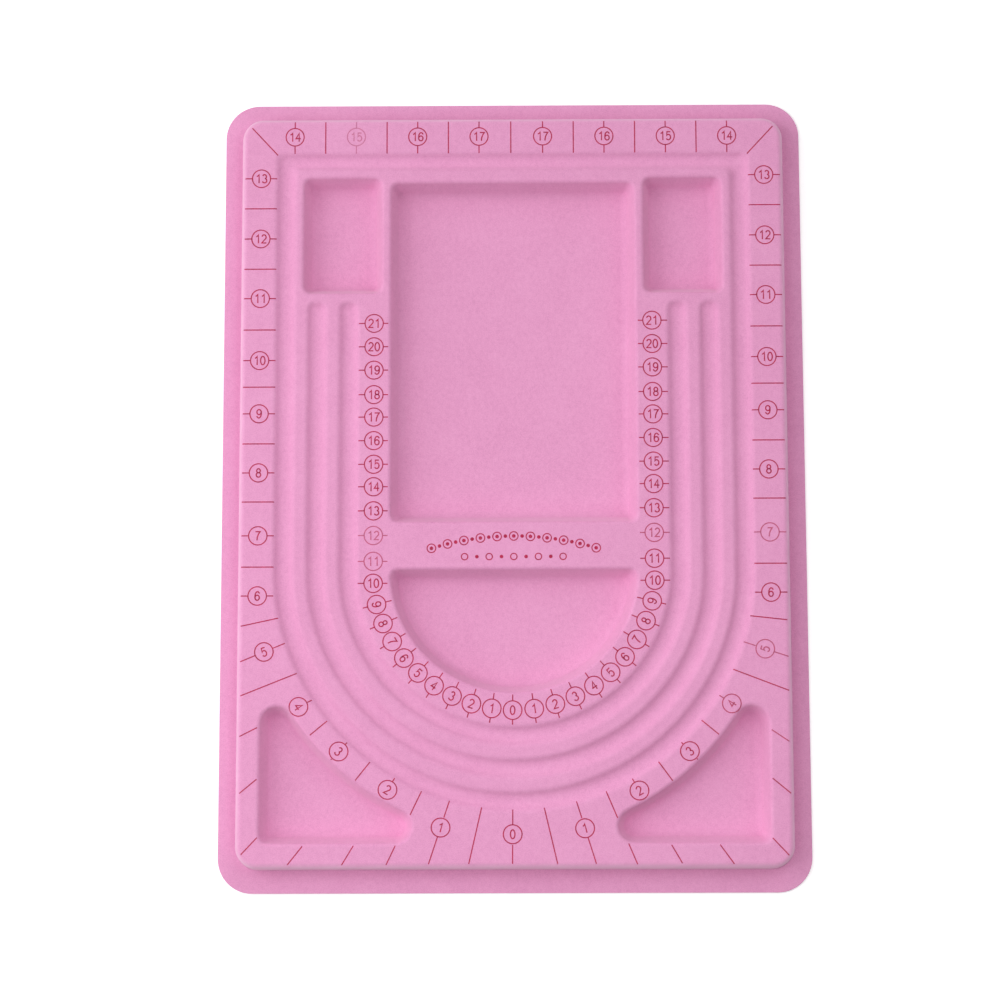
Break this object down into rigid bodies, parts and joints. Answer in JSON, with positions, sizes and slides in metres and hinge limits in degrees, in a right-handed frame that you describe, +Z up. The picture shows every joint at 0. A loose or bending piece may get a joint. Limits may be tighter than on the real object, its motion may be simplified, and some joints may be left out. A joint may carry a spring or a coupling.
{
  "type": "bead board",
  "caption": "Flocked, thermoformed tray board with ruled curved channels and shallow wells for laying out bead strings.",
  "frame": {"origin": "middle of the footprint, on the surface that the rim rests on", "axes": "+Z up out of the wells, +Y to the end with the small wells, +X to the right"},
  "size_m": [0.24, 0.327, 0.011],
  "materials": {
    "sheet": "satin formed polystyrene",
    "adhesive": "matt dried film",
    "flock": "short velvet pile"
  },
  "bodies": {
    "root": {"formed_sheet": "sheet", "flock_adhesive": "adhesive", "flock_pile": "flock"}
  },
  "joints": []
}
